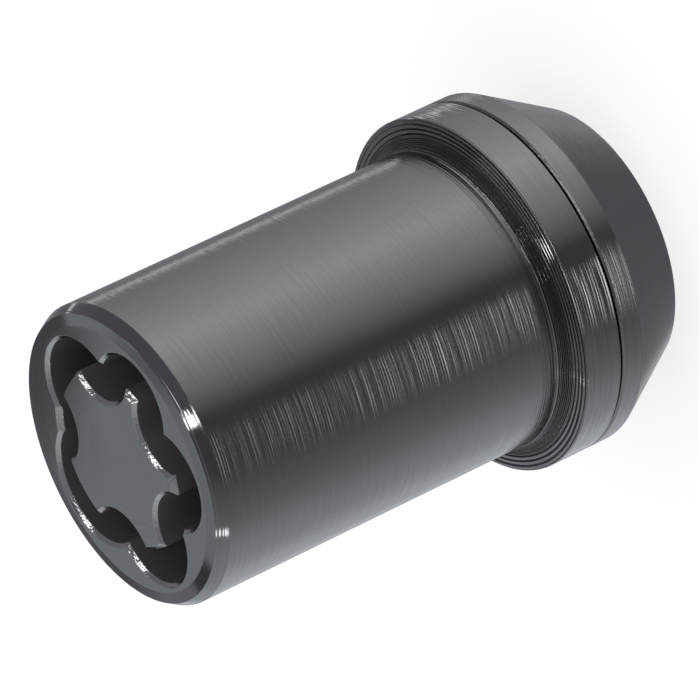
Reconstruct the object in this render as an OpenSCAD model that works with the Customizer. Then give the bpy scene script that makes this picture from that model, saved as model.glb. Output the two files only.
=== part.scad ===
// Locking wheel nut with a captive conical seat ring.
// The open end stands on Z = 0 and the key end points up. Sizes are in millimetres.
// Radii are worked out from the thread outwards, and heights from the open end upwards.

/* [Threaded hole] */
// Major diameter of the thread, which is the diameter of the wall here
thread_d = 12; // [8:0.5:20]
// Length of the threaded wall, with its mouth bevel
thread_length = 21; // [16:0.5:23]
// Width of the bevel at the thread's mouth
mouth_bevel = 0.6; // [0.3:0.05:0.8]
// Depth of the thread, by which the drilled hole is smaller all round
thread_depth = 0.75; // [0.4:0.05:1]
// Length of the drilled hole past the thread
drill_runout = 3.5; // [1:0.5:4.5]
// Full angle of the drill's point
drill_point_angle = 118; // [100:1:150]

/* [Neck] */
// Wall of the neck round the thread
neck_wall = 1.8; // [1.2:0.1:3]
// Radial width of the lip rolled out at the neck's end
lip_width = 0.7; // [0.4:0.05:1]
// Height of the straight rim of the lip
lip_rim = 0.35; // [0.2:0.05:0.6]
// Distance of the lip's end above the seat ring's end face
lip_recess = 0.3; // [0.1:0.05:0.6]

/* [Seat ring] */
// Radial running clearance between the neck and the seat ring
radial_gap = 0.08; // [0.05:0.01:0.1]
// Axial running gap between the flange and the seat ring
axial_gap = 0.12; // [0.08:0.01:0.2]
// Width of the seat ring's flat end face
foot_width = 0.86; // [0.6:0.02:1.4]
// Full angle of the conical seat
seat_angle = 60; // [50:1:75]
// Height of the conical seat
seat_height = 5.3; // [4:0.1:7]
// Height of the seat ring's cylindrical band
ring_band = 1.6; // [1:0.1:2.4]
// Width of the broken edges on both sides of the parting line
parting_edge = 0.14; // [0.05:0.01:0.25]

/* [Flange] */
// Thickness of the flange
flange_thickness = 3.05; // [2:0.05:4]
// Width by which the flange stands out from the barrel
flange_overhang = 2; // [1.6:0.1:3]
// Radius of the hollow fillet between the barrel and the flange
root_fillet = 1; // [0.4:0.1:1.2]
// Width of the bevel round the flange's front rim
rim_edge = 0.15; // [0.1:0.05:0.4]

/* [Barrel] */
// Length of the barrel, from the flange to the key face
barrel_length = 28.35; // [26:0.05:36]
// Radial width of the steep bevel round the key end
corner_width = 0.45; // [0.3:0.05:0.7]
// Axial length of the steep bevel round the key end
corner_length = 0.8; // [0.5:0.05:2]
// Radial width of the shallow bevel at the edge of the key face
face_bevel_width = 0.8; // [0.3:0.05:0.9]
// Fall of the shallow bevel over its width
face_bevel_fall = 0.1; // [0.05:0.01:0.4]

/* [Lock groove] */
// Depth of the groove below the key face
groove_depth = 6; // [3:0.5:7]
// Wall between the groove's lobes and the barrel's surface
land_wall = 1.8; // [1.7:0.05:2.2]
// Width of the groove between the land and the island
groove_width = 2.4; // [2:0.05:2.8]
// Middle angle and radius of each lobe, going round
lobes = [[9.5, 4], [100, 4.25], [175, 3.85], [241.5, 3.4], [302.5, 3.35]];
// Distance by which the land points inward between the lobes
cusp_reach = 2.05; // [1.7:0.05:2.4]
// Radius of the hollows between the island's points
hollow_r = 3.05; // [2.6:0.05:3.4]
// Distance by which the island's hollow facing the widest land is shallower
hollow_fill = 0.25; // [0:0.05:0.3]
// Height of the island above the key face
island_rise = 0.22; // [0.02:0.02:0.4]
// Width of the broken edges along the lobes and the hollows
groove_edge = 0.25; // [0.15:0.05:0.25]
// Width of the broken edges across the points of land and island
point_edge = 0.35; // [0.35:0.05:0.45]

/* [Hidden] */
$fn = 96;
dark_chrome = [0.27, 0.27, 0.29];
satin_chrome = [0.33, 0.33, 0.35];

// The lip widens at 45 degrees from the neck, and the ring's countersink follows it
thread_r = thread_d / 2;
drill_r = thread_r - thread_depth;
neck_r = thread_r + neck_wall;
lip_r = neck_r + lip_width;
ring_bore_r = neck_r + radial_gap;
countersink_r = lip_r + radial_gap;

// The seat widens from the ring's end face to the band, which the flange matches
foot_r = countersink_r + foot_width;
flange_r = foot_r + seat_height * tan(seat_angle / 2);
barrel_r = flange_r - flange_overhang;
corner_r = barrel_r - corner_width;
face_r = corner_r - face_bevel_width;

// Heights above the open end
lip_shoulder = lip_recess + lip_rim;
neck_end = lip_shoulder + lip_width;
countersink_shoulder = lip_shoulder + radial_gap;
countersink_end = countersink_shoulder + countersink_r - ring_bore_r;
ring_top = seat_height + ring_band;
flange_back = ring_top + axial_gap;
flange_front = flange_back + flange_thickness;
key_face = flange_front + barrel_length;
island_face = key_face + island_rise;
groove_floor = key_face - groove_depth;
thread_end = lip_recess + thread_length;
drill_end = thread_end + drill_runout;
drill_tip = drill_end + drill_r / tan(drill_point_angle / 2);

// Radii of the lock groove's outline
groove_r = barrel_r - land_wall;
cusp_r = groove_r - cusp_reach;
island_r = groove_r - groove_width;
face_step_r = (island_r + cusp_r) / 2;

// Cutters run past what they open by this length, and broken edges past their arc by this angle
overrun = 0.15;
turn_over = 4;

// Distance of a lobe's centre from the axis: all lobes reach equally far out
function lobe_place(index) = groove_r - lobes[index][1];

// Angle from a lobe's middle line to its edge, where the points of land end
function half_width(index) =
    acos((cusp_r * cusp_r + lobe_place(index) * lobe_place(index) - lobes[index][1] * lobes[index][1])
        / (2 * cusp_r * lobe_place(index)));

// Turn about a lobe's own centre from straight out to that edge
function lobe_turn(index) =
    acos((cusp_r * cusp_r - lobe_place(index) * lobe_place(index) - lobes[index][1] * lobes[index][1])
        / (2 * lobe_place(index) * lobes[index][1]));

// Each hollow of the island faces the land halfway between the edges of two lobes
function lobe_edge(index, side) = lobes[index][0] + side * half_width(index);
function hollow_angle(index) =
    index < len(lobes) - 1
        ? (lobe_edge(index, 1) + lobe_edge(index + 1, -1)) / 2
        : (lobe_edge(index, 1) + lobe_edge(0, -1) + 360) / 2;

// Distance of a hollow's centre from the axis: the first hollow faces the widest land
function hollow_place(index) = cusp_r - groove_width + hollow_r + (index == 0 ? hollow_fill : 0);

// Turn about a hollow's centre from straight in to the island's point
function hollow_turn(index) =
    acos((hollow_place(index) * hollow_place(index) + hollow_r * hollow_r - island_r * island_r)
        / (2 * hollow_place(index) * hollow_r));

// Half section of the turned body, up the outside from the lip to the key face
module body_section() {
    polygon([
        [0, lip_recess],
        [lip_r, lip_recess],
        [lip_r, lip_shoulder],
        [neck_r, neck_end],
        [neck_r, flange_back],
        [flange_r - parting_edge, flange_back],
        [flange_r, flange_back + parting_edge],
        [flange_r, flange_front - rim_edge],
        [flange_r - rim_edge, flange_front],
        [barrel_r, flange_front],
        [barrel_r, key_face - face_bevel_fall - corner_length],
        [corner_r, key_face - face_bevel_fall],
        [face_r, key_face],
        [face_step_r, key_face],
        [face_step_r, island_face],
        [0, island_face]
    ]);
    difference() {
        translate([barrel_r, flange_front]) square(root_fillet);
        translate([barrel_r + root_fillet, flange_front + root_fillet]) circle(r = root_fillet);
    }
}

// Blind hole from the open end: mouth bevel, threaded wall, drilled end and drill point
module stud_hole() {
    rotate_extrude() polygon([
        [0, lip_recess - overrun],
        [thread_r + mouth_bevel + overrun, lip_recess - overrun],
        [thread_r, lip_recess + mouth_bevel],
        [thread_r, thread_end],
        [drill_r, thread_end + thread_depth],
        [drill_r, drill_end],
        [0, drill_tip]
    ]);
}

// The island that the groove leaves standing, with hollow flanks between its points
module island_outline() {
    difference() {
        circle(r = island_r);
        for (index = [0 : len(lobes) - 1])
            rotate(hollow_angle(index)) translate([hollow_place(index), 0]) circle(r = hollow_r);
    }
}

// The closed lock groove between the land and the island
module lock_groove() {
    translate([0, 0, groove_floor]) linear_extrude(groove_depth + island_rise + overrun)
        difference() {
            union() {
                for (index = [0 : len(lobes) - 1])
                    rotate(lobes[index][0]) translate([lobe_place(index), 0]) circle(r = lobes[index][1]);
                circle(r = cusp_r);
            }
            island_outline();
        }
}

// Cutter for a 45 degree broken edge outside an arc: the material lies beyond the radius
module outer_edge(radius, width, face, start, sweep) {
    rotate([0, 0, start]) rotate_extrude(angle = sweep) polygon([
        [radius - overrun, face - width - overrun],
        [radius + width + overrun, face + overrun],
        [radius - overrun, face + overrun]
    ]);
}

// Broken edges of the land: round each lobe and across the points of land
module land_edges() {
    for (index = [0 : len(lobes) - 1])
        rotate([0, 0, lobes[index][0]]) translate([lobe_place(index), 0, 0])
            outer_edge(lobes[index][1], groove_edge, key_face,
                -lobe_turn(index) - turn_over, 2 * (lobe_turn(index) + turn_over));
    outer_edge(cusp_r, point_edge, key_face, 0, 360);
}

// Broken edges of the island: round its points and along the hollows between them
module island_edges() {
    rotate_extrude() polygon([
        [island_r + overrun, island_face - point_edge - overrun],
        [island_r + overrun, island_face + overrun],
        [island_r - point_edge - overrun, island_face + overrun]
    ]);
    for (index = [0 : len(lobes) - 1])
        rotate([0, 0, hollow_angle(index)]) translate([hollow_place(index), 0, 0])
            outer_edge(hollow_r, groove_edge, island_face,
                180 - hollow_turn(index) - turn_over, 2 * (hollow_turn(index) + turn_over));
}

// Barrel, flange, neck, stud hole and lock groove, all one piece
module nut_body() {
    color(dark_chrome) difference() {
        rotate_extrude() body_section();
        stud_hole();
        lock_groove();
        land_edges();
        island_edges();
    }
}

// Free-turning ring with the conical seat, held on the neck by the rolled lip
module seat_ring() {
    color(satin_chrome) rotate_extrude() polygon([
        [countersink_r, 0],
        [foot_r, 0],
        [flange_r, seat_height],
        [flange_r, ring_top - parting_edge],
        [flange_r - parting_edge, ring_top],
        [ring_bore_r, ring_top],
        [ring_bore_r, countersink_end],
        [countersink_r, countersink_shoulder]
    ]);
}

nut_body();
seat_ring();
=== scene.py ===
import math
from collections import namedtuple

import bmesh
import bpy
from mathutils import Matrix, Vector


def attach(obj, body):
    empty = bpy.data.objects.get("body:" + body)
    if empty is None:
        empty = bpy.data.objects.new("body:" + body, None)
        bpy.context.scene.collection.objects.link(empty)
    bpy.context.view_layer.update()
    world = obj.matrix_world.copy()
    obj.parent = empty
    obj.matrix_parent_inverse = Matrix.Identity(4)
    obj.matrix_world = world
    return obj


bl_info = {
    "name": "Locking Wheel Nut",
    "version": (1, 0, 0),
    "blender": (4, 5, 0),
    "location": "View3D > Sidebar > Wheel Nut",
    "description": "Chrome finishes, stud thread and studio for a locking wheel nut",
    "category": "Object",
}

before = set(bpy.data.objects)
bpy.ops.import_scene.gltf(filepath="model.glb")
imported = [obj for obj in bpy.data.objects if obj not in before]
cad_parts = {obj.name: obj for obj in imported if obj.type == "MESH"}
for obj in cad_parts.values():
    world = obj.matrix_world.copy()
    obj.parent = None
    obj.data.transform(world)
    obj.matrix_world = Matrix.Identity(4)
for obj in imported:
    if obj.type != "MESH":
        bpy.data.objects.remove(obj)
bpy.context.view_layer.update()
NUT_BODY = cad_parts["nut_body"]
SEAT_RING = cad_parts["seat_ring"]

MM = 0.001

# Heights and radii of the solids that the finishes follow, in metres
KEY_FACE = 0.03842
FLANGE_FRONT = 0.01007
PARTING_LINE = 0.00696
CONE_TOP = 0.0051
LIP_TOP = 0.00135
BARREL_RADIUS = 0.0105
GROOVE_REACH = 0.00885

# Radius on the key face outside which the marks are as deep as on the barrel
MARKED_RADIUS = 0.0091

# Heights and radii of the masks are set off, and fade, by multiples of this length
FADE = 0.0001

# How upright a face is: the limits of its normal's vertical part for walls and for sloping edges
WALL_LIMITS = (0.3, 0.5)
SLOPE_START = (0.5, 0.6)
SLOPE_END = (0.8, 0.85)

# Depth of the marks, in units of the mark depth that the settings hold
COARSE_RELIEF = 1.8
FLANGE_COARSE_RELIEF = 1.6
FEED_RELIEF = 0.16
FLANGE_FEED_RELIEF = 0.22
STEP_RELIEF = 7.0
FACE_RELIEF = 0.06
WORN_RELIEF = 2.2
RING_FEED_RELIEF = 0.38
RING_WORN_RELIEF = 1.6
CONE_SHARE = 0.25

# Length of one mark along its turn, width of one step on the flange's front, and dents per metre
MARK_LENGTH = 0.008
STEP_WIDTH = 0.00034
DENTS_PER_METRE = 3900.0

# How much paler and darker than the chrome the marks are, how much of a paler colour is painted on the
# broken edges as a highlight, and the share of dents and painted highlight on edges below the parting line
MARK_CONTRAST = 0.14
EDGE_HIGHLIGHT_SHARE = 0.8
LOW_EDGE_DENTS_AND_HIGHLIGHT = 0.6

# Roughness of the finishes, the key face's share of it, and what the dull walls have more
BARREL_ROUGHNESS = 0.19
FRONT_ROUGHNESS = 0.11
RING_ROUGHNESS = 0.24
THREAD_ROUGHNESS = 0.28
FACE_GLOSS_SHARE = 0.5
WALL_DULLNESS = 0.5
WALL_METALLIC = 0.45

# Stretch of the gloss across the marks, and radius of the softened edges
GLOSS_STRETCH = 0.6
THREAD_GLOSS_STRETCH = 0.3
EDGE_RADIUS = 0.00009
THREAD_EDGE_RADIUS = 0.00006

# The thread's ridge: widths at its foot and crest in pitches, how far it stands in the wall, and
# its least height as a share of the full one
FOOT_HALF_WIDTH = 0.47
CREST_HALF_WIDTH = 0.0625
WALL_OVERLAP = 0.00003
LEAST_SHARE = 0.04

# Grey of the floor and its own glow
FLOOR_GREY = 0.28
FLOOR_GLOW = 0.76

# The camera's direction from the nut and its roll in degrees, its target and its distance
CAMERA_AZIMUTH = -0.007
CAMERA_ELEVATION = 29.111
CAMERA_ROLL = -115.317
CAMERA_TARGET = (0.05, 0, 19.71)
CAMERA_DISTANCE = 0.4955

# Angle that one piece of a card spans, in degrees
CARD_PIECE = 6

Chrome = namedtuple("Chrome", "material tree shader marks bump place")


def length_property(name, description, default, low, high, precision=5):
    """A length in metres."""
    return bpy.props.FloatProperty(
        name=name,
        description=description,
        default=default,
        min=low,
        max=high,
        subtype="DISTANCE",
        unit="LENGTH",
        precision=precision,
    )


def colour_property(name, description, default):
    """A colour without transparency."""
    return bpy.props.FloatVectorProperty(
        name=name, description=description, default=default, size=3, min=0, max=1, subtype="COLOR"
    )


def mark_width_property():
    return length_property("Mark Width", "Width of one fine turning mark", 0.00011, 0.00003, 0.0005, 6)


def mark_depth_property():
    return length_property("Mark Depth", "Depth of the turning marks", 0.000012, 0, 0.00005, 6)


def feed_width_property(default):
    return length_property(
        "Feed Width", "Spacing of the regular marks that the cutting tool's feed leaves",
        default, 0.0001, 0.0005, 6
    )


class StudThreadSettings(bpy.types.PropertyGroup):
    """Sizes of the internal thread"""

    major_radius: length_property(
        "Major Radius", "Radius of the hole's wall, where the thread's ridge starts", 0.006, 0.004, 0.01
    )
    minor_radius: length_property(
        "Minor Radius", "Radius at the crest of the ridge", 0.00522, 0.003, 0.0099
    )
    pitch: length_property("Pitch", "Rise of the thread in one turn", 0.0015, 0.001, 0.002)
    start: length_property("Start", "Height of the first ridge above the open end", 0.0017, 0.0016, 0.005)
    turns: bpy.props.FloatProperty(
        name="Turns",
        description="Number of turns of the ridge",
        default=12.5,
        min=2,
        max=12.5,
    )
    run_out: bpy.props.FloatProperty(
        name="Run Out",
        description="Turns over which the ridge rises and dies away at its ends",
        default=0.5,
        min=0.1,
        max=1,
    )
    steps: bpy.props.IntProperty(
        name="Steps per Turn",
        description="Number of straight steps in one turn",
        default=72,
        min=24,
        max=144,
    )


class BodyFinishSettings(bpy.types.PropertyGroup):
    """Colours and turning marks of the nut body"""

    chrome: colour_property("Chrome", "Colour of the black chrome plate", (0.128, 0.13, 0.136))
    groove_wall: colour_property(
        "Groove Wall", "Colour of the dull plate on the walls of the lock groove and the hole",
        (0.075, 0.07, 0.08)
    )
    # Paler colour painted on the broken edges as a highlight, standing in for the glints along them
    edge_highlight: colour_property(
        "Edge Highlight", "Paler colour painted on broken edges as a highlight", (0.27, 0.275, 0.285)
    )
    mark_width: mark_width_property()
    mark_depth: mark_depth_property()
    feed_width: feed_width_property(0.00021)


class RingFinishSettings(bpy.types.PropertyGroup):
    """Colour and turning marks of the seat ring"""

    chrome: colour_property("Chrome", "Colour of the black chrome plate on the ring", (0.135, 0.137, 0.142))
    mark_width: mark_width_property()
    mark_depth: mark_depth_property()
    feed_width: feed_width_property(0.00023)


class StudioSettings(bpy.types.PropertyGroup):
    """Floor, cards and camera"""

    floor_size: length_property("Floor Size", "Side of the square floor", 3.0, 0.5, 10, 2)
    world_strength: bpy.props.FloatProperty(
        name="World Strength",
        description="Strength of the white surroundings",
        default=1.0,
        min=0,
        max=2,
    )
    card_distance: length_property(
        "Card Distance", "Distance of the studio cards from the nut", 0.6, 0.2, 2, 2
    )
    lens: bpy.props.FloatProperty(
        name="Lens",
        description="Focal length of the camera, in millimetres",
        default=390.6,
        min=35,
        max=600,
    )


def socket_value(node, name, value):
    node.inputs[name].default_value = value


def new_node(tree, kind, place, **values):
    node = tree.nodes.new(kind)
    node.location = place
    for key, value in values.items():
        setattr(node, key, value)
    return node


def math_node(tree, operation, first, second, place):
    """A Math node whose two inputs are numbers or sockets."""
    node = new_node(tree, "ShaderNodeMath", place, operation=operation)
    for index, value in enumerate((first, second)):
        if isinstance(value, bpy.types.NodeSocket):
            tree.links.new(value, node.inputs[index])
        elif value is not None:
            node.inputs[index].default_value = value
    return node.outputs[0]


def range_node(tree, value, low, high, place, to_low=0.0, to_high=1.0, smooth=True):
    """A Map Range node that clamps, smooth or straight."""
    node = new_node(tree, "ShaderNodeMapRange", place)
    node.interpolation_type = "SMOOTHSTEP" if smooth else "LINEAR"
    tree.links.new(value, node.inputs["Value"])
    socket_value(node, "From Min", low)
    socket_value(node, "From Max", high)
    socket_value(node, "To Min", to_low)
    socket_value(node, "To Max", to_high)
    return node.outputs["Result"]


def below(tree, value, limit, place, fade=FADE, full=1.0):
    """Full up to the limit, and nothing once the fade is past."""
    return range_node(tree, value, limit, limit + fade, place, full, 0.0)


def above(tree, value, limit, place, fade=FADE, full=1.0):
    """Nothing up to the limit, and full once the fade is past."""
    return range_node(tree, value, limit, limit + fade, place, 0.0, full)


def turning_marks_group():
    """Node group: lines that run round the nut's axis, on every turned surface."""
    name = "Turning Marks"
    if name in bpy.data.node_groups:
        return bpy.data.node_groups[name]
    group = bpy.data.node_groups.new(name, "ShaderNodeTree")
    group.interface.new_socket("Place", in_out="INPUT", socket_type="NodeSocketVector")
    for socket in ("Mark Width", "Mark Length", "Feed Width", "Step Width"):
        group.interface.new_socket(socket, in_out="INPUT", socket_type="NodeSocketFloat")
    for socket in ("Fine", "Steps", "Feed", "Coarse", "Radius", "Height"):
        group.interface.new_socket(socket, in_out="OUTPUT", socket_type="NodeSocketFloat")
    inputs = new_node(group, "NodeGroupInput", (-1000, 0))
    outputs = new_node(group, "NodeGroupOutput", (800, 0))
    links = group.links
    parts = new_node(group, "ShaderNodeSeparateXYZ", (-800, 0))
    links.new(inputs.outputs["Place"], parts.inputs[0])
    flat = new_node(group, "ShaderNodeCombineXYZ", (-600, 200))
    links.new(parts.outputs["X"], flat.inputs["X"])
    links.new(parts.outputs["Y"], flat.inputs["Y"])
    radius = new_node(group, "ShaderNodeVectorMath", (-400, 200), operation="LENGTH")
    links.new(flat.outputs[0], radius.inputs[0])
    travel = math_node(group, "ADD", parts.outputs["Z"], radius.outputs["Value"], (-200, 0))
    across = math_node(group, "DIVIDE", travel, inputs.outputs["Mark Width"], (0, 0))
    around_x = math_node(group, "DIVIDE", parts.outputs["X"], inputs.outputs["Mark Length"], (-200, -200))
    around_y = math_node(group, "DIVIDE", parts.outputs["Y"], inputs.outputs["Mark Length"], (-200, -400))
    fine_place = new_node(group, "ShaderNodeCombineXYZ", (200, 100))
    links.new(around_x, fine_place.inputs["X"])
    links.new(around_y, fine_place.inputs["Y"])
    links.new(across, fine_place.inputs["Z"])
    fine = new_node(group, "ShaderNodeTexNoise", (400, 100))
    socket_value(fine, "Scale", 1.0)
    socket_value(fine, "Detail", 2.0)
    socket_value(fine, "Roughness", 0.6)
    links.new(fine_place.outputs[0], fine.inputs["Vector"])
    slow = math_node(group, "DIVIDE", across, 3.7, (0, -200))
    coarse_place = new_node(group, "ShaderNodeCombineXYZ", (200, -200))
    links.new(around_x, coarse_place.inputs["X"])
    links.new(around_y, coarse_place.inputs["Y"])
    links.new(slow, coarse_place.inputs["Z"])
    coarse = new_node(group, "ShaderNodeTexNoise", (400, -200))
    socket_value(coarse, "Scale", 1.0)
    socket_value(coarse, "Detail", 1.0)
    socket_value(coarse, "Roughness", 0.5)
    links.new(coarse_place.outputs[0], coarse.inputs["Vector"])
    feeds = math_node(group, "DIVIDE", travel, inputs.outputs["Feed Width"], (0, -600))
    angle = math_node(group, "MULTIPLY", feeds, 2 * math.pi, (200, -600))
    wave = math_node(group, "SINE", angle, None, (400, -600))
    depth = range_node(group, coarse.outputs["Fac"], 0.35, 0.65, (400, -800), 0.1, 1.0)
    links.new(math_node(group, "MULTIPLY", wave, depth, (600, -600)), outputs.inputs["Feed"])
    inward = math_node(group, "SUBTRACT", radius.outputs["Value"], parts.outputs["Z"], (-200, -1000))
    step_count = math_node(group, "DIVIDE", inward, inputs.outputs["Step Width"], (0, -1000))
    step_angle = math_node(group, "MULTIPLY", step_count, 2 * math.pi, (200, -1000))
    links.new(math_node(group, "SINE", step_angle, None, (400, -1000)), outputs.inputs["Steps"])
    links.new(fine.outputs["Fac"], outputs.inputs["Fine"])
    links.new(coarse.outputs["Fac"], outputs.inputs["Coarse"])
    links.new(radius.outputs["Value"], outputs.inputs["Radius"])
    links.new(parts.outputs["Z"], outputs.inputs["Height"])
    return group


def slope_tangent(tree, coordinates, place):
    """Direction up the slope, square to the turning marks, for the gloss that they stretch."""
    x, y = place
    around = new_node(tree, "ShaderNodeVectorMath", (x, y), operation="CROSS_PRODUCT")
    around.inputs[0].default_value = (0, 0, 1)
    tree.links.new(coordinates.outputs["Object"], around.inputs[1])
    turned = new_node(tree, "ShaderNodeVectorTransform", (x + 200, y))
    turned.vector_type = "VECTOR"
    turned.convert_from = "OBJECT"
    turned.convert_to = "WORLD"
    tree.links.new(around.outputs[0], turned.inputs[0])
    geometry = new_node(tree, "ShaderNodeNewGeometry", (x + 200, y - 200))
    upward = new_node(tree, "ShaderNodeVectorMath", (x + 400, y), operation="CROSS_PRODUCT")
    tree.links.new(turned.outputs[0], upward.inputs[0])
    tree.links.new(geometry.outputs["Normal"], upward.inputs[1])
    unit = new_node(tree, "ShaderNodeVectorMath", (x + 600, y), operation="NORMALIZE")
    tree.links.new(upward.outputs[0], unit.inputs[0])
    return unit.outputs[0]


def chrome_material(name, settings, stretch, edge_radius):
    """Black chrome over turning marks. Returns the parts that a finish goes on from."""
    material = bpy.data.materials.new(name)
    material.use_nodes = True
    tree = material.node_tree
    tree.nodes.clear()
    output = new_node(tree, "ShaderNodeOutputMaterial", (1400, 0))
    shader = new_node(tree, "ShaderNodeBsdfPrincipled", (1100, 0))
    tree.links.new(shader.outputs[0], output.inputs["Surface"])
    socket_value(shader, "Metallic", 1.0)
    socket_value(shader, "Anisotropic", stretch)
    coordinates = new_node(tree, "ShaderNodeTexCoord", (-900, 0))
    marks = new_node(tree, "ShaderNodeGroup", (-600, 0))
    marks.node_tree = turning_marks_group()
    socket_value(marks, "Mark Width", settings.mark_width)
    socket_value(marks, "Mark Length", MARK_LENGTH)
    socket_value(marks, "Feed Width", settings.feed_width)
    socket_value(marks, "Step Width", STEP_WIDTH)
    tree.links.new(coordinates.outputs["Object"], marks.inputs["Place"])
    tangent = slope_tangent(tree, coordinates, (-600, -700))
    tree.links.new(tangent, shader.inputs["Tangent"])
    rounded = new_node(tree, "ShaderNodeBevel", (500, -400))
    rounded.samples = 4
    socket_value(rounded, "Radius", edge_radius)
    bump = new_node(tree, "ShaderNodeBump", (800, -300))
    socket_value(bump, "Strength", 1.0)
    socket_value(bump, "Distance", settings.mark_depth)
    tree.links.new(rounded.outputs[0], bump.inputs["Normal"])
    tree.links.new(bump.outputs[0], shader.inputs["Normal"])
    return Chrome(material, tree, shader, marks.outputs, bump, coordinates.outputs["Object"])


def finish_colour(chrome, colour):
    """Chrome colour with slightly paler and darker marks."""
    mix = new_node(chrome.tree, "ShaderNodeMix", (500, 200), data_type="RGBA")
    dark = tuple(channel * (1 - MARK_CONTRAST) for channel in colour)
    pale = tuple(min(channel * (1 + MARK_CONTRAST), 1.0) for channel in colour)
    mix.inputs["A"].default_value = (*dark, 1)
    mix.inputs["B"].default_value = (*pale, 1)
    chrome.tree.links.new(chrome.marks["Fine"], mix.inputs["Factor"])
    chrome.tree.links.new(mix.outputs["Result"], chrome.shader.inputs["Base Color"])
    return mix.outputs["Result"]


def laid_over(tree, factor, lower, colour, place):
    """The lower colour, covered by another one as far as the factor says."""
    mix = new_node(tree, "ShaderNodeMix", place, data_type="RGBA")
    tree.links.new(factor, mix.inputs["Factor"])
    tree.links.new(lower, mix.inputs["A"])
    mix.inputs["B"].default_value = (*colour, 1)
    return mix.outputs["Result"]


def worn_dents(chrome, depth):
    """Height of the small dents on worn edges, which are as deep as the given socket says."""
    dents = new_node(chrome.tree, "ShaderNodeTexNoise", (-300, -700))
    chrome.tree.links.new(chrome.place, dents.inputs["Vector"])
    socket_value(dents, "Scale", DENTS_PER_METRE)
    socket_value(dents, "Detail", 1.0)
    return math_node(chrome.tree, "MULTIPLY", dents.outputs["Fac"], depth, (300, -500))


def front_zone(tree, radius, height):
    """Mask of the flange's front face and of the fillet beside it."""
    start = above(tree, height, FLANGE_FRONT - 2 * FADE, (-700, -900))
    end = below(tree, height, FLANGE_FRONT + 10 * FADE, (-700, -1100))
    outer = range_node(tree, radius, BARREL_RADIUS + 0.1 * FADE, BARREL_RADIUS + 0.6 * FADE, (-700, -1300))
    span = math_node(tree, "MULTIPLY", start, end, (-500, -1000))
    return math_node(tree, "MULTIPLY", outer, span, (-300, -1000))


def body_marks(tree, marks):
    """Height of the turning marks: deepest on the flange and faint on the key face."""
    radius = marks["Radius"]
    height = marks["Height"]
    outside = above(tree, radius, MARKED_RADIUS, (-300, 300), 2 * FADE)
    below_face = below(tree, height, KEY_FACE - 3 * FADE, (-300, 500))
    turned = math_node(tree, "MULTIPLY", outside, below_face, (-100, 400))
    on_face = above(tree, height, KEY_FACE - 2 * FADE, (-300, 700), full=FACE_RELIEF)
    amount = math_node(tree, "MAXIMUM", turned, on_face, (100, 500))
    flange = below(tree, height, FLANGE_FRONT - FADE, (-300, 900), 3 * FADE)
    coarse_more = math_node(tree, "MULTIPLY", flange, FLANGE_COARSE_RELIEF, (-500, -300))
    coarse_depth = math_node(tree, "ADD", coarse_more, COARSE_RELIEF, (-300, -300))
    coarse = math_node(tree, "MULTIPLY", marks["Coarse"], coarse_depth, (-100, -200))
    feed_more = math_node(tree, "MULTIPLY", flange, FLANGE_FEED_RELIEF, (-500, -500))
    feed_depth = math_node(tree, "ADD", feed_more, FEED_RELIEF, (-300, -500))
    feed = math_node(tree, "MULTIPLY", marks["Feed"], feed_depth, (-100, -400))
    step_depth = math_node(tree, "MULTIPLY", front_zone(tree, radius, height), STEP_RELIEF, (-100, -700))
    steps = math_node(tree, "MULTIPLY", marks["Steps"], step_depth, (100, -500))
    regular = math_node(tree, "ADD", feed, steps, (100, -300))
    uneven = math_node(tree, "ADD", marks["Fine"], coarse, (100, -100))
    both = math_node(tree, "ADD", uneven, regular, (200, -200))
    return math_node(tree, "MULTIPLY", both, amount, (300, -100))


def dull_walls(tree, height, steepness, inside):
    """Mask of the walls and floors of the lock groove and the stud hole, above the neck's lip."""
    upright = range_node(tree, steepness, *WALL_LIMITS, (-300, 1300), 1.0, 0.0)
    deep = below(tree, height, KEY_FACE - 9 * FADE, (-300, 1500), 2 * FADE)
    above_lip = above(tree, height, LIP_TOP, (-300, 2100), 2 * FADE)
    floors = math_node(tree, "MULTIPLY", deep, above_lip, (-100, 2000))
    walls = math_node(tree, "MULTIPLY", upright, above_lip, (-100, 1500))
    either = math_node(tree, "MAXIMUM", walls, floors, (-100, 1400))
    return math_node(tree, "MULTIPLY", inside, either, (100, 1200))


def dents_and_edge_highlight(tree, height, steepness, inside):
    """Depth of the dents on sloping edges round the lock groove and below the parting line; the same mask
    sets how much painted highlight those edges get.
    """
    tilted = range_node(tree, steepness, *SLOPE_START, (-500, 1700), 0.0, WORN_RELIEF)
    not_flat = range_node(tree, steepness, *SLOPE_END, (-500, 1900), 1.0, 0.0)
    sloping = math_node(tree, "MULTIPLY", tilted, not_flat, (-300, 1700))
    near_face = above(tree, height, KEY_FACE - 6 * FADE, (-300, 1900))
    round_groove = math_node(tree, "MULTIPLY", inside, near_face, (-100, 1800))
    low = below(tree, height, PARTING_LINE + 3 * FADE, (-300, 2300), full=LOW_EDGE_DENTS_AND_HIGHLIGHT)
    places = math_node(tree, "MAXIMUM", round_groove, low, (0, 1900))
    return math_node(tree, "MULTIPLY", sloping, places, (100, 1600))


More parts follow.
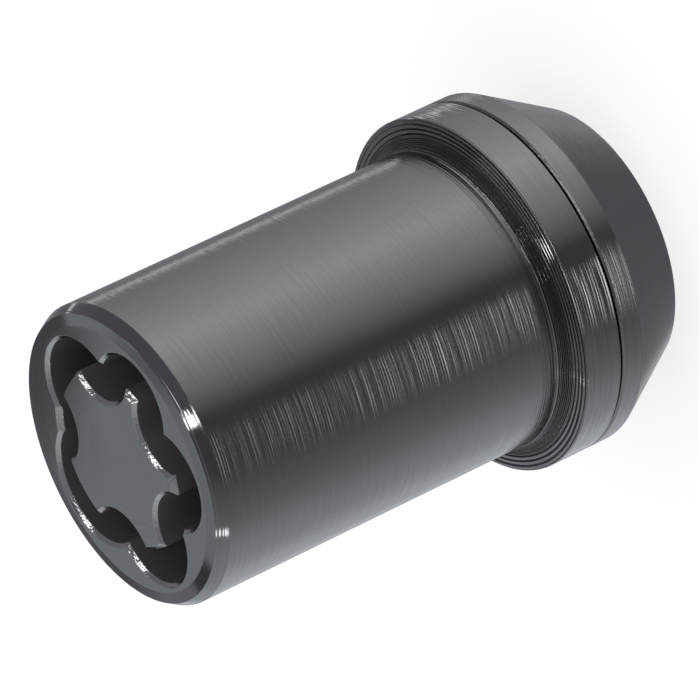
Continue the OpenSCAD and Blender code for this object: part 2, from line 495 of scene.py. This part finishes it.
class WHEELNUT_OT_body_finish(bpy.types.Operator):
    """Gives the nut body its black chrome over turning marks"""

    bl_idname = "wheelnut.body_finish"
    bl_label = "Finish the Nut Body"

    def execute(self, context):
        settings = context.scene.wheelnut_body
        chrome = chrome_material("body_chrome", settings, GLOSS_STRETCH, EDGE_RADIUS)
        tree = chrome.tree
        shader = chrome.shader
        height = chrome.marks["Height"]
        geometry = new_node(tree, "ShaderNodeNewGeometry", (-900, 900))
        normal = new_node(tree, "ShaderNodeSeparateXYZ", (-700, 900))
        tree.links.new(geometry.outputs["True Normal"], normal.inputs[0])
        steepness = math_node(tree, "ABSOLUTE", normal.outputs["Z"], None, (-500, 900))
        inside = below(tree, chrome.marks["Radius"], GROOVE_REACH, (-300, 1100))
        wall = dull_walls(tree, height, steepness, inside)
        edge_dents = dents_and_edge_highlight(tree, height, steepness, inside)
        relief = body_marks(tree, chrome.marks)
        bump_height = math_node(tree, "ADD", relief, worn_dents(chrome, edge_dents), (500, -200))
        tree.links.new(bump_height, chrome.bump.inputs["Height"])
        plate = finish_colour(chrome, settings.chrome)
        # Broken edges get a paler colour where their dents are: a painted highlight for the edge glints
        highlight_share = range_node(tree, edge_dents, 0.0, WORN_RELIEF, (600, 800), 0.0, EDGE_HIGHLIGHT_SHARE)
        highlit_plate = laid_over(tree, highlight_share, plate, settings.edge_highlight, (800, 300))
        sunken = laid_over(tree, wall, highlit_plate, settings.groove_wall, (950, 300))
        tree.links.new(sunken, shader.inputs["Base Color"])
        front = range_node(
            tree, height, FLANGE_FRONT + 9 * FADE, FLANGE_FRONT + 12 * FADE, (100, 800),
            FRONT_ROUGHNESS, BARREL_ROUGHNESS
        )
        on_face = range_node(
            tree, height, KEY_FACE - 9 * FADE, KEY_FACE - 7 * FADE, (100, 700), 1.0, FACE_GLOSS_SHARE
        )
        plated = math_node(tree, "MULTIPLY", front, on_face, (300, 700))
        dull = range_node(tree, wall, 0.0, 1.0, (300, 500), 0.0, WALL_DULLNESS)
        tree.links.new(math_node(tree, "ADD", plated, dull, (500, 600)), shader.inputs["Roughness"])
        metallic = range_node(tree, wall, 0.0, 1.0, (500, 400), 1.0, WALL_METALLIC)
        tree.links.new(metallic, shader.inputs["Metallic"])
        NUT_BODY.data.materials.clear()
        NUT_BODY.data.materials.append(chrome.material)
        return {"FINISHED"}


class WHEELNUT_OT_ring_finish(bpy.types.Operator):
    """Gives the seat ring its satin black chrome over turning marks"""

    bl_idname = "wheelnut.ring_finish"
    bl_label = "Finish the Seat Ring"

    def execute(self, context):
        settings = context.scene.wheelnut_ring
        chrome = chrome_material("ring_chrome", settings, GLOSS_STRETCH, EDGE_RADIUS)
        tree = chrome.tree
        marks = chrome.marks
        socket_value(chrome.shader, "Roughness", RING_ROUGHNESS)
        finish_colour(chrome, settings.chrome)
        band = range_node(tree, marks["Height"], CONE_TOP, CONE_TOP + 3 * FADE, (-300, 300), CONE_SHARE, 1.0)
        coarse = math_node(tree, "MULTIPLY", marks["Coarse"], COARSE_RELIEF, (-300, -100))
        uneven = math_node(tree, "ADD", marks["Fine"], coarse, (-100, -100))
        feed = math_node(tree, "MULTIPLY", marks["Feed"], RING_FEED_RELIEF, (-100, -300))
        both = math_node(tree, "ADD", uneven, feed, (50, -200))
        relief = math_node(tree, "MULTIPLY", both, band, (200, -100))
        edge_dents = range_node(
            tree, marks["Height"], PARTING_LINE - 2.8 * FADE, PARTING_LINE - 2 * FADE, (0, 500),
            0.0, RING_WORN_RELIEF
        )
        bump_height = math_node(tree, "ADD", relief, worn_dents(chrome, edge_dents), (500, -200))
        tree.links.new(bump_height, chrome.bump.inputs["Height"])
        SEAT_RING.data.materials.clear()
        SEAT_RING.data.materials.append(chrome.material)
        return {"FINISHED"}


def thread_ridge(mesh, settings):
    """Helical ridge of the thread, swept from its profile and tapered at both ends."""
    half_foot = settings.pitch * FOOT_HALF_WIDTH
    half_crest = settings.pitch * CREST_HALF_WIDTH
    foot_r = settings.major_radius + WALL_OVERLAP
    profile = (
        (foot_r, -half_foot),
        (settings.minor_radius, -half_crest),
        (settings.minor_radius, half_crest),
        (foot_r, half_foot),
    )
    corners = [mesh.verts.new((radius, 0, settings.start + height)) for radius, height in profile]
    section = mesh.faces.new(corners)
    steps = round(settings.turns * settings.steps)
    bmesh.ops.spin(
        mesh,
        geom=[section, *section.edges, *corners],
        cent=(0, 0, 0),
        axis=(0, 0, 1),
        dvec=(0, 0, settings.pitch / settings.steps),
        angle=math.radians(360 * settings.turns),
        steps=steps,
        use_merge=False,
        use_normal_flip=False,
        use_duplicate=False,
    )
    for vertex in mesh.verts:
        turn = math.atan2(vertex.co.y, vertex.co.x) / math.tau % 1.0
        turn += round((vertex.co.z - settings.start) / settings.pitch - turn)
        ends = min(max(turn, 0.0), max(settings.turns - turn, 0.0))
        share = min(ends / settings.run_out, 1.0)
        radius = vertex.co.xy.length
        kept = foot_r + (radius - foot_r) * max(share, LEAST_SHARE)
        vertex.co.xy *= kept / radius
    bmesh.ops.recalc_face_normals(mesh, faces=mesh.faces)


class WHEELNUT_OT_stud_thread(bpy.types.Operator):
    """Makes the helical ridge of the stud thread inside the hole"""

    bl_idname = "wheelnut.stud_thread"
    bl_label = "Make the Stud Thread"

    def execute(self, context):
        settings = context.scene.wheelnut_thread
        mesh = bmesh.new()
        thread_ridge(mesh, settings)
        data = bpy.data.meshes.new("stud_thread")
        mesh.to_mesh(data)
        mesh.free()
        thread = bpy.data.objects.new("stud_thread", data)
        context.scene.collection.objects.link(thread)
        finish = context.scene.wheelnut_body
        chrome = chrome_material("thread_chrome", finish, THREAD_GLOSS_STRETCH, THREAD_EDGE_RADIUS)
        socket_value(chrome.shader, "Roughness", THREAD_ROUGHNESS)
        finish_colour(chrome, finish.chrome)
        chrome.tree.links.new(chrome.marks["Fine"], chrome.bump.inputs["Height"])
        data.materials.append(chrome.material)
        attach(thread, "nut")
        return {"FINISHED"}


def floor_material():
    """Pale floor that keeps the nut's shadow and is clear from below."""
    material = bpy.data.materials.new("pale_floor")
    material.use_nodes = True
    tree = material.node_tree
    tree.nodes.clear()
    output = new_node(tree, "ShaderNodeOutputMaterial", (800, 0))
    plain = new_node(tree, "ShaderNodeBsdfDiffuse", (0, 0))
    socket_value(plain, "Color", (FLOOR_GREY, FLOOR_GREY, FLOOR_GREY, 1))
    glow = new_node(tree, "ShaderNodeEmission", (0, -200))
    socket_value(glow, "Color", (1, 1, 1, 1))
    path = new_node(tree, "ShaderNodeLightPath", (-600, -200))
    reflected = math_node(
        tree, "MAXIMUM", path.outputs["Is Glossy Ray"], path.outputs["Is Transmission Ray"], (-400, -300)
    )
    seen = math_node(tree, "MAXIMUM", path.outputs["Is Camera Ray"], reflected, (-200, -200))
    strength = math_node(tree, "MULTIPLY", seen, FLOOR_GLOW, (-100, -350))
    tree.links.new(strength, glow.inputs["Strength"])
    both = new_node(tree, "ShaderNodeAddShader", (200, 0))
    tree.links.new(plain.outputs[0], both.inputs[0])
    tree.links.new(glow.outputs[0], both.inputs[1])
    clear = new_node(tree, "ShaderNodeBsdfTransparent", (200, -200))
    geometry = new_node(tree, "ShaderNodeNewGeometry", (200, 300))
    mix = new_node(tree, "ShaderNodeMixShader", (500, 0))
    tree.links.new(geometry.outputs["Backfacing"], mix.inputs[0])
    tree.links.new(both.outputs[0], mix.inputs[1])
    tree.links.new(clear.outputs[0], mix.inputs[2])
    tree.links.new(mix.outputs[0], output.inputs["Surface"])
    return material


def card_material(name, colour, strength, width, height, fades):
    """Glowing or dark card. Its left, right, bottom and top edges fade over the given angles."""
    material = bpy.data.materials.new(name)
    material.use_nodes = True
    tree = material.node_tree
    tree.nodes.clear()
    output = new_node(tree, "ShaderNodeOutputMaterial", (800, 0))
    coordinates = new_node(tree, "ShaderNodeUVMap", (-800, 0), uv_map="card")
    parts = new_node(tree, "ShaderNodeSeparateXYZ", (-600, 0))
    tree.links.new(coordinates.outputs["UV"], parts.inputs[0])
    left, right, bottom, top = fades
    edges = (
        (parts.outputs["X"], 0, left, 0.0, 1.0),
        (parts.outputs["X"], width - right, width, 1.0, 0.0),
        (parts.outputs["Y"], 0, bottom, 0.0, 1.0),
        (parts.outputs["Y"], height - top, height, 1.0, 0.0),
    )
    mask = None
    for index, (value, low, high, first, last) in enumerate(edges):
        if low == high:
            continue
        fade = range_node(tree, value, low, high, (-400, index * -200), first, last, smooth=False)
        mask = fade if mask is None else math_node(tree, "MULTIPLY", mask, fade, (-200, index * -200))
    glow = new_node(tree, "ShaderNodeEmission", (200, -200))
    socket_value(glow, "Color", (*colour, 1))
    socket_value(glow, "Strength", strength)
    clear = new_node(tree, "ShaderNodeBsdfTransparent", (200, 100))
    mix = new_node(tree, "ShaderNodeMixShader", (500, 0))
    tree.links.new(mask, mix.inputs[0])
    tree.links.new(clear.outputs[0], mix.inputs[1])
    tree.links.new(glow.outputs[0], mix.inputs[2])
    tree.links.new(mix.outputs[0], output.inputs["Surface"])
    return material


def studio_card(context, name, azimuths, elevations, lean, distance, look):
    """Curved card round the nut between two azimuths and two elevations, seen only in reflections.

    The azimuth turns clockwise from +Y, seen from above. The lean moves the card's upper half
    sideways, by so many degrees for each degree up. The card's map holds the angles from its left
    bottom corner.
    """
    mesh = bmesh.new()
    columns = max(2, round((azimuths[1] - azimuths[0]) / CARD_PIECE))
    rows = max(2, round((elevations[1] - elevations[0]) / CARD_PIECE))
    bmesh.ops.create_grid(mesh, x_segments=columns, y_segments=rows, size=0.5)
    place = mesh.loops.layers.uv.new("card")
    middle = Vector((0.5, 0.5))
    span = Vector((azimuths[1] - azimuths[0], elevations[1] - elevations[0]))
    for face in mesh.faces:
        for corner in face.loops:
            corner[place].uv = (corner.vert.co.xy + middle) * span
    for vertex in mesh.verts:
        azimuth = math.radians(azimuths[0] + (vertex.co.x + 0.5) * span.x)
        azimuth += math.radians(lean * vertex.co.y * span.y)
        elevation = math.radians(elevations[0] + (vertex.co.y + 0.5) * span.y)
        vertex.co = CARD_CENTRE + distance * Vector((
            math.sin(azimuth) * math.cos(elevation),
            math.cos(azimuth) * math.cos(elevation),
            math.sin(elevation),
        ))
    data = bpy.data.meshes.new(name)
    mesh.to_mesh(data)
    mesh.free()
    data.materials.append(look)
    card = bpy.data.objects.new(name, data)
    context.scene.collection.objects.link(card)
    card.visible_camera = False
    card.visible_diffuse = False
    card.visible_transmission = False
    card.visible_volume_scatter = False
    card.visible_shadow = False


CARD_CENTRE = Vector((0, 0, 0.02))

# Tints of the cards: purplish shade, cool daylight and warm lamp light
DARK_TINT = (1.05, 0.98, 1.1)
COOL_TINT = (0.95, 1.0, 1.05)
WARM_TINT = (1.06, 0.98, 0.95)

# Each card: name, azimuths, elevations, lean, distance share, colour, strength, and the angles
# over which its left, right, bottom and top edges fade
CARDS = (
    ("side_flag", (-14, 176), (-45, 88), 0, 1.0, DARK_TINT, 0.4, (6, 6, 4, 6)),
    ("under_flag", (0, 360), (-90, -36), 0, 1.05, DARK_TINT, 0.38, (0, 0, 0, 12)),
    ("cool_side", (256, 330), (-37, 30), 0, 1.02, COOL_TINT, 1.12, (20, 12, 3, 5)),
    ("far_side", (312, 352), (-38, 30), 0, 1.03, COOL_TINT, 0.82, (4, 4, 3, 5)),
    ("low_flag", (-15, 36), (-36, 0), 0, 0.97, DARK_TINT, 0.3, (10, 3, 6, 4)),
    ("back_card", (-40, 40), (22, 60), 0, 0.98, COOL_TINT, 0.84, (6, 6, 4, 6)),
    ("back_right", (1, 44), (37, 62), 0, 0.97, COOL_TINT, 0.58, (4, 6, 3, 6)),
    ("front_flag", (158, 282), (-60, 50), 0, 0.94, DARK_TINT, 0.25, (18, 66, 6, 10)),
    ("front_top", (158, 282), (40, 88), 0, 0.96, DARK_TINT, 0.5, (18, 40, 10, 4)),
    ("soft_box", (40, 180), (-59, -5), 0, 0.92, WARM_TINT, 1.98, (79, 61, 6, 8)),
    ("edge_strip", (37.5, 42.5), (-72, 0), 0, 0.9, (1, 1, 1), 2.3, (1.5, 1.5, 5, 5)),
    ("streak_lamp", (192, 238), (-62, -37), 0, 0.85, (1, 1, 1), 5.0, (5, 18, 4, 3)),
    ("near_lamp", (172.5, 182.5), (27, 35), 0, 0.8, (1, 1, 0.98), 11.0, (1.5, 1.5, 1.5, 1.5)),
    ("bar_lamp", (168, 181), (34, 41), 0, 0.8, (1, 1, 1), 24.0, (1.5, 1.5, 1, 1.5)),
    ("side_lamp", (258, 264.5), (14, 21), 0, 0.8, (1, 1, 1), 8.0, (1.5, 1.5, 1.5, 1.5)),
    ("top_lamp", (55, 172), (50, 59), 0, 0.7, (1, 1, 1), 5.0, (20, 15, 2, 2)),
    ("face_flag", (-6.2, 36), (18, 34.4), 1.26, 0.25, DARK_TINT, 0.25, (0.8, 6, 2, 0.6)),
    ("patch_flag", (340, 350), (35, 40.5), 0, 0.24, DARK_TINT, 0.16, (0.3, 0.3, 0.3, 0.3)),
    ("left_flag", (340, 350.5), (27, 35.5), 0, 0.24, DARK_TINT, 0.6, (1, 1, 2, 0.5)),
)


class WHEELNUT_OT_studio(bpy.types.Operator):
    """Makes the pale floor, the white surroundings and the studio cards"""

    bl_idname = "wheelnut.studio"
    bl_label = "Make the Studio"

    def execute(self, context):
        settings = context.scene.wheelnut_studio
        mesh = bmesh.new()
        bmesh.ops.create_grid(mesh, x_segments=1, y_segments=1, size=settings.floor_size / 2)
        data = bpy.data.meshes.new("floor")
        mesh.to_mesh(data)
        mesh.free()
        floor = bpy.data.objects.new("floor", data)
        context.scene.collection.objects.link(floor)
        data.materials.append(floor_material())
        floor.visible_glossy = False
        for name, azimuths, elevations, lean, share, colour, strength, fades in CARDS:
            look = card_material(
                name, colour, strength, azimuths[1] - azimuths[0], elevations[1] - elevations[0], fades
            )
            studio_card(context, name, azimuths, elevations, lean, settings.card_distance * share, look)
        world = bpy.data.worlds.new("white_surroundings")
        context.scene.world = world
        world.use_nodes = True
        background = world.node_tree.nodes["Background"]
        background.inputs["Color"].default_value = (1, 1, 1, 1)
        background.inputs["Strength"].default_value = settings.world_strength
        context.scene.view_settings.view_transform = "Standard"
        return {"FINISHED"}


class WHEELNUT_OT_camera(bpy.types.Operator):
    """Makes the camera at the photograph's viewing angle"""

    bl_idname = "wheelnut.camera"
    bl_label = "Make the Camera"

    def execute(self, context):
        settings = context.scene.wheelnut_studio
        azimuth = math.radians(CAMERA_AZIMUTH)
        elevation = math.radians(CAMERA_ELEVATION)
        roll = math.radians(CAMERA_ROLL)
        backward = Vector((
            math.sin(azimuth) * math.cos(elevation),
            -math.cos(azimuth) * math.cos(elevation),
            math.sin(elevation),
        ))
        level = Vector((math.cos(azimuth), math.sin(azimuth), 0))
        upright = backward.cross(level)
        right = level * math.cos(roll) + upright * math.sin(roll)
        upward = upright * math.cos(roll) - level * math.sin(roll)
        target = Vector(CAMERA_TARGET) * MM
        lens_data = bpy.data.cameras.new("photo_camera")
        lens_data.lens = settings.lens
        lens_data.sensor_width = 36
        lens_data.clip_start = 0.01
        lens_data.clip_end = 20
        camera = bpy.data.objects.new("photo_camera", lens_data)
        context.scene.collection.objects.link(camera)
        turn = Matrix((right, upward, backward)).transposed().to_4x4()
        camera.matrix_world = Matrix.Translation(target + backward * CAMERA_DISTANCE) @ turn
        context.scene.camera = camera
        return {"FINISHED"}


class WHEELNUT_PT_panel(bpy.types.Panel):
    """Lists the wheel nut's pieces, finishes and studio"""

    bl_idname = "WHEELNUT_PT_panel"
    bl_label = "Locking Wheel Nut"
    bl_space_type = "VIEW_3D"
    bl_region_type = "UI"
    bl_category = "Wheel Nut"

    def draw(self, context):
        for settings, operators in SECTIONS:
            box = self.layout.box()
            group = getattr(context.scene, settings)
            for name in group.bl_rna.properties.keys():
                if name not in {"rna_type", "name"}:
                    box.prop(group, name)
            for operator in operators:
                box.operator(operator)


SECTIONS = (
    ("wheelnut_body", ("wheelnut.body_finish",)),
    ("wheelnut_ring", ("wheelnut.ring_finish",)),
    ("wheelnut_thread", ("wheelnut.stud_thread",)),
    ("wheelnut_studio", ("wheelnut.studio", "wheelnut.camera")),
)

SETTINGS = (
    ("wheelnut_thread", StudThreadSettings),
    ("wheelnut_body", BodyFinishSettings),
    ("wheelnut_ring", RingFinishSettings),
    ("wheelnut_studio", StudioSettings),
)

OPERATORS = (
    WHEELNUT_OT_body_finish,
    WHEELNUT_OT_ring_finish,
    WHEELNUT_OT_stud_thread,
    WHEELNUT_OT_studio,
    WHEELNUT_OT_camera,
    WHEELNUT_PT_panel,
)


def register():
    for name, settings in SETTINGS:
        bpy.utils.register_class(settings)
        setattr(bpy.types.Scene, name, bpy.props.PointerProperty(type=settings))
    for operator in OPERATORS:
        bpy.utils.register_class(operator)


def unregister():
    for operator in reversed(OPERATORS):
        bpy.utils.unregister_class(operator)
    for name, settings in reversed(SETTINGS):
        delattr(bpy.types.Scene, name)
        bpy.utils.unregister_class(settings)


def main():
    """Makes the whole scene."""
    register()
    bpy.ops.wheelnut.camera()
    bpy.ops.wheelnut.body_finish()
    bpy.ops.wheelnut.ring_finish()
    bpy.ops.wheelnut.stud_thread()
    bpy.ops.wheelnut.studio()


if __name__ == "__main__":
    main()
